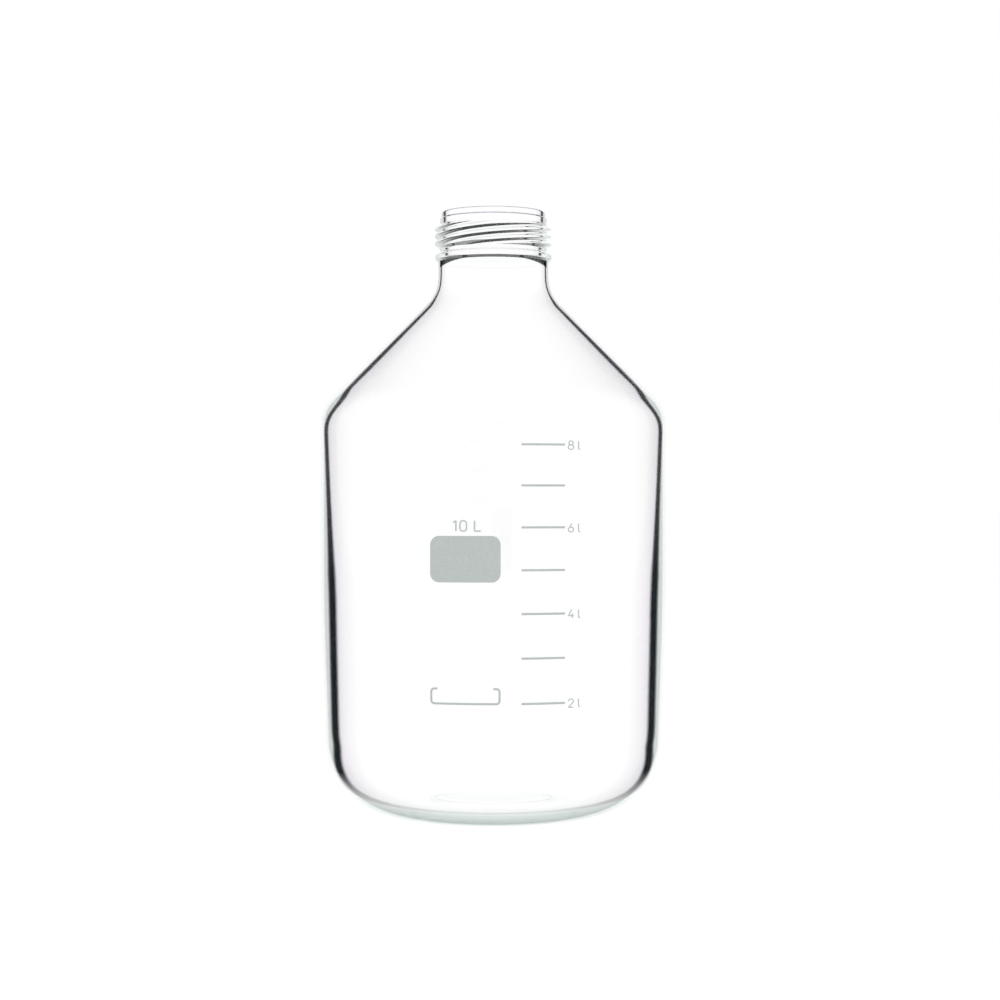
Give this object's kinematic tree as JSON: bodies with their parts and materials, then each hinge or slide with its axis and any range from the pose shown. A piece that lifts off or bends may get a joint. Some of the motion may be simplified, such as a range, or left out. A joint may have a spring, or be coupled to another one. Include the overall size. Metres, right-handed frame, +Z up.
{
  "type": "wide-mouth laboratory bottle",
  "caption": "Tall clear glass laboratory bottle with a wide screw-threaded mouth, conical shoulder, rounded bottom, printed volume lines and a writing field.",
  "frame": {"origin": "centre of the ring that the bottle stands on", "axes": "+Z up along the bottle's axis through the mouth, the print faces -Y"},
  "size_m": [0.2269, 0.2272, 0.394],
  "materials": {
    "clear_glass": "clear colourless borosilicate glass, fire-polished",
    "enamel_print": "fired enamel print, pale grey green, satin"
  },
  "bodies": {
    "root": {"bottle": "clear_glass", "writing_field": "enamel_print", "graduation_lines": "enamel_print", "code_frame": "enamel_print"}
  },
  "joints": []
}
